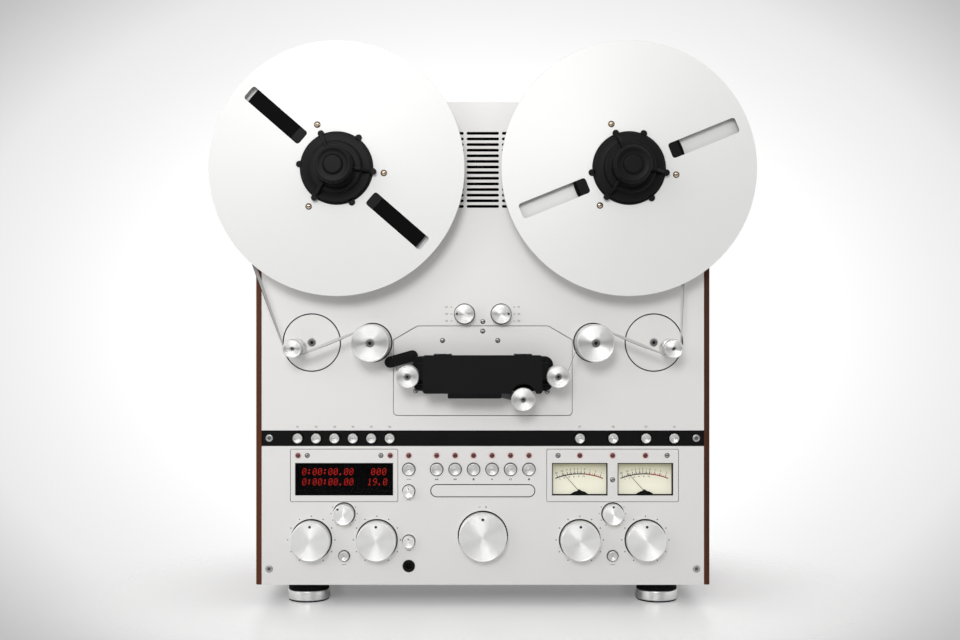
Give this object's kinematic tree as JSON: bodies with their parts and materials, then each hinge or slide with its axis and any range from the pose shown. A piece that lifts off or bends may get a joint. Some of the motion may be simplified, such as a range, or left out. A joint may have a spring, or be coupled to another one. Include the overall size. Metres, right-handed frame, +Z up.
{
  "type": "reel-to-reel tape recorder",
  "caption": "Upright open-reel tape recorder with turning reels on twist-lock adapters, tape path, flip-up head cover, display, needle meters, knobs and keys, on round feet.",
  "frame": {"origin": "on the floor under the middle of the part's box", "axes": "+Z up, +X to the viewer's right, the front with the reels and controls looks along -Y"},
  "size_m": [0.5716, 0.3006, 0.5963],
  "materials": {
    "brushed_plate": "finely brushed, clear anodised",
    "turned_aluminium": "turned, radial brushed faces",
    "reel_aluminium": "satin anodised",
    "feet_aluminium": "turned, brushed edge",
    "frame_aluminium": "mill finish",
    "black_metal": "matt black coat",
    "black_plastic": "matt moulded black",
    "tape_film": "dark coated film",
    "steel": "bright plated",
    "walnut": "oiled walnut",
    "window": "clear",
    "red_lamp": "clear red lens"
  },
  "bodies": {
    "case": {"chassis_frame": "frame_aluminium", "cabinet_shell": "black_metal", "side_panels": "walnut", "deck_plate": "brushed_plate", "control_panel": "brushed_plate", "button_strip": "black_metal", "feet": "feet_aluminium", "head_plate": "brushed_plate", "head_block": "black_metal", "tape_heads": "steel", "instrument_bezels": "brushed_plate", "instrument_windows": "window", "instruments": "black_plastic", "indicator_lamps": "red_lamp", "plate_screws": "steel", "drive_motors": "steel", "electronics": "steel", "sockets": "black_plastic", "recording_tape": "tape_film"},
    "supply_reel": {"supply_reel": "reel_aluminium", "supply_tape_pack": "tape_film", "supply_adapter": "black_plastic"},
    "takeup_reel": {"takeup_reel": "reel_aluminium", "takeup_tape_pack": "tape_film", "takeup_adapter": "black_plastic"},
    "supply_lock": {"supply_lock_knob": "black_plastic"},
    "takeup_lock": {"takeup_lock_knob": "black_plastic"},
    "left_tension_disc": {"left_tension_disc": "brushed_plate"},
    "left_tension_roller": {"left_tension_roller": "turned_aluminium"},
    "left_guide_roller": {"left_guide_roller": "turned_aluminium"},
    "left_head_roller": {"left_head_roller": "turned_aluminium"},
    "right_tension_disc": {"right_tension_disc": "brushed_plate"},
    "right_tension_roller": {"right_tension_roller": "turned_aluminium"},
    "right_guide_roller": {"right_guide_roller": "turned_aluminium"},
    "right_head_roller": {"right_head_roller": "turned_aluminium"},
    "pinch_arm": {"pinch_arm": "black_metal"},
    "pinch_roller": {"pinch_roller": "turned_aluminium"},
    "capstan": {"capstan": "steel"},
    "head_cover": {"head_cover": "black_metal"},
    "cue_lever": {"cue_lever": "black_metal"},
    "left_meter_needle": {"left_meter_needle": "black_metal"},
    "right_meter_needle": {"right_meter_needle": "black_metal"},
    "left_selector_knob": {"left_selector_knob": "turned_aluminium"},
    "right_selector_knob": {"right_selector_knob": "turned_aluminium"},
    "jog_knob": {"jog_knob": "turned_aluminium"},
    "left_output_knob": {"left_output_knob": "turned_aluminium"},
    "right_output_knob": {"right_output_knob": "turned_aluminium"},
    "left_record_knob": {"left_record_knob": "turned_aluminium"},
    "right_record_knob": {"right_record_knob": "turned_aluminium"},
    "output_blend_knob": {"output_blend_knob": "turned_aluminium"},
    "record_blend_knob": {"record_blend_knob": "turned_aluminium"},
    "upper_trim_knob": {"upper_trim_knob": "turned_aluminium"},
    "lower_trim_knob": {"lower_trim_knob": "turned_aluminium"},
    "transport_key_1": {"transport_key_1": "turned_aluminium"},
    "transport_key_2": {"transport_key_2": "turned_aluminium"},
    "transport_key_3": {"transport_key_3": "turned_aluminium"},
    "transport_key_4": {"transport_key_4": "turned_aluminium"},
    "transport_key_5": {"transport_key_5": "turned_aluminium"},
    "transport_key_6": {"transport_key_6": "turned_aluminium"},
    "function_keys": {"function_keys": "turned_aluminium"}
  },
  "joints": [
    {"name": "takeup_spin", "type": "hinge", "parent": "case", "child": "takeup_reel", "pos_m": [0.1525, -0.1059, 0.463], "axis": [0, -1, 0], "continuous": true},
    {"name": "supply_spin", "type": "hinge", "parent": "case", "child": "supply_reel", "pos_m": [-0.1525, -0.1059, 0.463], "axis": [0, -1, 0], "continuous": true},
    {"name": "supply_lock_twist", "type": "hinge", "parent": "supply_reel", "child": "supply_lock", "pos_m": [-0.1525, -0.1187, 0.463], "axis": [0, -1, 0], "range_deg": [-60, 0]},
    {"name": "takeup_lock_twist", "type": "hinge", "parent": "takeup_reel", "child": "takeup_lock", "pos_m": [0.1525, -0.1187, 0.463], "axis": [0, -1, 0], "range_deg": [-45, 15]},
    {"name": "left_tension_swing", "type": "hinge", "parent": "case", "child": "left_tension_disc", "pos_m": [-0.1825, -0.0787, 0.2805], "axis": [0, -1, 0], "range_deg": [-25, 25], "stiffness_Nm_per_rad": 0.4, "deforming": ["recording_tape"]},
    {"name": "left_tension_spin", "type": "hinge", "parent": "left_tension_disc", "child": "left_tension_roller", "pos_m": [-0.19829, -0.1059, 0.27475], "axis": [0, -1, 0], "continuous": true},
    {"name": "left_guide_spin", "type": "hinge", "parent": "case", "child": "left_guide_roller", "pos_m": [-0.1175, -0.1059, 0.2805], "axis": [0, -1, 0], "continuous": true},
    {"name": "left_head_spin", "type": "hinge", "parent": "case", "child": "left_head_roller", "pos_m": [-0.0785, -0.1059, 0.2455], "axis": [0, -1, 0], "continuous": true},
    {"name": "right_tension_swing", "type": "hinge", "parent": "case", "child": "right_tension_disc", "pos_m": [0.1825, -0.0787, 0.2805], "axis": [0, -1, 0], "range_deg": [-25, 25], "stiffness_Nm_per_rad": 0.4, "deforming": ["recording_tape"]},
    {"name": "right_tension_spin", "type": "hinge", "parent": "right_tension_disc", "child": "right_tension_roller", "pos_m": [0.19829, -0.1059, 0.27475], "axis": [0, -1, 0], "continuous": true},
    {"name": "right_guide_spin", "type": "hinge", "parent": "case", "child": "right_guide_roller", "pos_m": [0.1175, -0.1059, 0.2805], "axis": [0, -1, 0], "continuous": true},
    {"name": "right_head_spin", "type": "hinge", "parent": "case", "child": "right_head_roller", "pos_m": [0.0785, -0.1059, 0.2455], "axis": [0, -1, 0], "continuous": true},
    {"name": "pinch_swing", "type": "hinge", "parent": "case", "child": "pinch_arm", "pos_m": [0.016, -0.0927, 0.2279], "axis": [0, -1, 0], "range_deg": [0, 5.8], "stiffness_Nm_per_rad": 0.5},
    {"name": "pinch_spin", "type": "hinge", "parent": "pinch_arm", "child": "pinch_roller", "pos_m": [0.042, -0.1059, 0.2219], "axis": [0, -1, 0], "continuous": true},
    {"name": "capstan_spin", "type": "hinge", "parent": "case", "child": "capstan", "pos_m": [0.0424, -0.1059, 0.2415], "axis": [0, -1, 0], "continuous": true},
    {"name": "cover_flip", "type": "hinge", "parent": "case", "child": "head_cover", "pos_m": [0, -0.1102, 0.2715], "axis": [-1, 0, 0], "range_deg": [0, 170]},
    {"name": "cue_swing", "type": "hinge", "parent": "case", "child": "cue_lever", "pos_m": [-0.075, -0.0867, 0.2665], "axis": [0, -1, 0], "range_deg": [0, 15]},
    {"name": "left_needle_swing", "type": "hinge", "parent": "case", "child": "left_meter_needle", "pos_m": [0.1035, -0.0697, 0.1208], "axis": [0, -1, 0], "range_deg": [-84, 0], "stiffness_Nm_per_rad": 0.002},
    {"name": "right_needle_swing", "type": "hinge", "parent": "case", "child": "right_meter_needle", "pos_m": [0.1735, -0.0697, 0.1208], "axis": [0, -1, 0], "range_deg": [-84, 0], "stiffness_Nm_per_rad": 0.002},
    {"name": "left_selector_knob_turn", "type": "hinge", "parent": "case", "child": "left_selector_knob", "pos_m": [-0.0195, -0.0847, 0.311], "axis": [0, -1, 0], "range_deg": [-30, 30]},
    {"name": "right_selector_knob_turn", "type": "hinge", "parent": "case", "child": "right_selector_knob", "pos_m": [0.0195, -0.0847, 0.311], "axis": [0, -1, 0], "range_deg": [-30, 30]},
    {"name": "jog_knob_turn", "type": "hinge", "parent": "case", "child": "jog_knob", "pos_m": [0, -0.0847, 0.0743], "axis": [0, -1, 0], "continuous": true},
    {"name": "left_output_knob_turn", "type": "hinge", "parent": "case", "child": "left_output_knob", "pos_m": [-0.183, -0.0847, 0.07], "axis": [0, -1, 0], "range_deg": [-150, 150]},
    {"name": "right_output_knob_turn", "type": "hinge", "parent": "case", "child": "right_output_knob", "pos_m": [-0.113, -0.0847, 0.07], "axis": [0, -1, 0], "range_deg": [-150, 150]},
    {"name": "left_record_knob_turn", "type": "hinge", "parent": "case", "child": "left_record_knob", "pos_m": [0.1035, -0.0847, 0.07], "axis": [0, -1, 0], "range_deg": [-150, 150]},
    {"name": "right_record_knob_turn", "type": "hinge", "parent": "case", "child": "right_record_knob", "pos_m": [0.1735, -0.0847, 0.07], "axis": [0, -1, 0], "range_deg": [-150, 150]},
    {"name": "output_blend_knob_turn", "type": "hinge", "parent": "case", "child": "output_blend_knob", "pos_m": [-0.148, -0.0847, 0.098], "axis": [0, -1, 0], "range_deg": [-150, 150]},
    {"name": "record_blend_knob_turn", "type": "hinge", "parent": "case", "child": "record_blend_knob", "pos_m": [0.1385, -0.0847, 0.098], "axis": [0, -1, 0], "range_deg": [-150, 150]},
    {"name": "upper_trim_knob_turn", "type": "hinge", "parent": "case", "child": "upper_trim_knob", "pos_m": [-0.079, -0.0847, 0.1222], "axis": [0, -1, 0], "range_deg": [-150, 150]},
    {"name": "lower_trim_knob_turn", "type": "hinge", "parent": "case", "child": "lower_trim_knob", "pos_m": [-0.079, -0.0847, 0.0686], "axis": [0, -1, 0], "range_deg": [-150, 150]},
    {"name": "transport_key_1_press", "type": "slide", "parent": "case", "child": "transport_key_1", "axis": [0, 1, 0], "range_m": [0, 0.0025], "stiffness_N_per_m": 300},
    {"name": "transport_key_2_press", "type": "slide", "parent": "case", "child": "transport_key_2", "axis": [0, 1, 0], "range_m": [0, 0.0025], "stiffness_N_per_m": 300},
    {"name": "transport_key_3_press", "type": "slide", "parent": "case", "child": "transport_key_3", "axis": [0, 1, 0], "range_m": [0, 0.0025], "stiffness_N_per_m": 300},
    {"name": "transport_key_4_press", "type": "slide", "parent": "case", "child": "transport_key_4", "axis": [0, 1, 0], "range_m": [0, 0.0025], "stiffness_N_per_m": 300},
    {"name": "transport_key_5_press", "type": "slide", "parent": "case", "child": "transport_key_5", "axis": [0, 1, 0], "range_m": [0, 0.0025], "stiffness_N_per_m": 300},
    {"name": "transport_key_6_press", "type": "slide", "parent": "case", "child": "transport_key_6", "axis": [0, 1, 0], "range_m": [0, 0.0025], "stiffness_N_per_m": 300},
    {"name": "function_keys_press", "type": "slide", "parent": "case", "child": "function_keys", "axis": [0, 1, 0], "range_m": [0, 0.0025], "stiffness_N_per_m": 300}
  ],
  "couplings": [
    {"joint": "supply_spin", "follows": "takeup_spin", "ratio": 0.51724},
    {"joint": "left_tension_spin", "follows": "takeup_spin", "ratio": 6.9767},
    {"joint": "left_guide_spin", "follows": "takeup_spin", "ratio": -3.75},
    {"joint": "left_head_spin", "follows": "takeup_spin", "ratio": 7.5},
    {"joint": "right_tension_spin", "follows": "takeup_spin", "ratio": 6.9767},
    {"joint": "right_guide_spin", "follows": "takeup_spin", "ratio": -3.75},
    {"joint": "right_head_spin", "follows": "takeup_spin", "ratio": 7.5}
  ]
}
